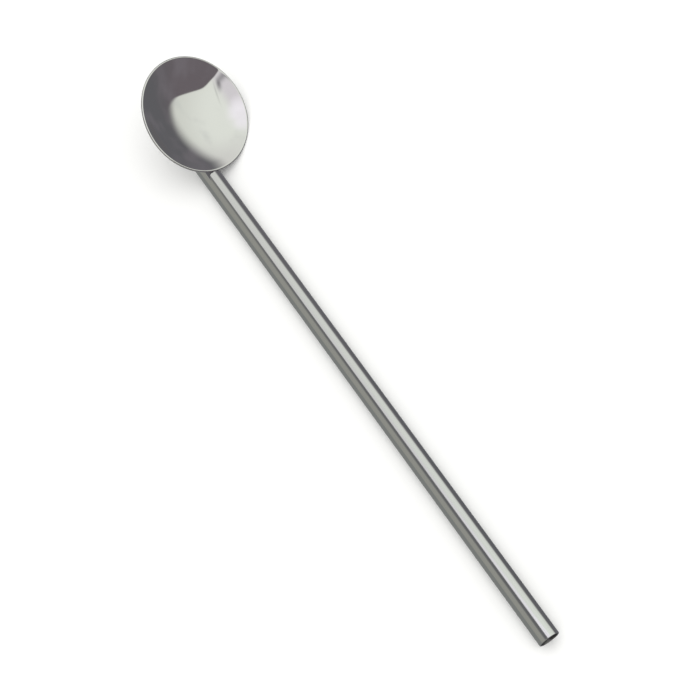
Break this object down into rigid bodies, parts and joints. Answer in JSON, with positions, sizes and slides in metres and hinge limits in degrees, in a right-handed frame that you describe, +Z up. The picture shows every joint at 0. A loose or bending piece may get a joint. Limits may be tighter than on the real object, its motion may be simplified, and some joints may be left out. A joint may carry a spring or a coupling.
{
  "type": "bar spoon",
  "caption": "Bar spoon with a shallow round bowl brazed at an angle to a straight hollow tube handle, open at both ends for sipping.",
  "frame": {"origin": "centre of the spoon's bounding box, on the surface that the spoon lies on", "axes": "+X along the tube towards its open end, +Z up from the surface that the tube and the bowl's lip rest on, the bowl leaning towards +Y"},
  "size_m": [0.197, 0.0306, 0.0246],
  "materials": {
    "bowl_steel": "pressed stainless steel sheet, mirror polished",
    "tube_steel": "drawn stainless steel tube, polished along its length",
    "braze": "silver braze, cleaned and slightly dull"
  },
  "bodies": {
    "root": {"bowl": "bowl_steel", "tube_handle": "tube_steel", "braze_seam": "braze"}
  },
  "joints": []
}
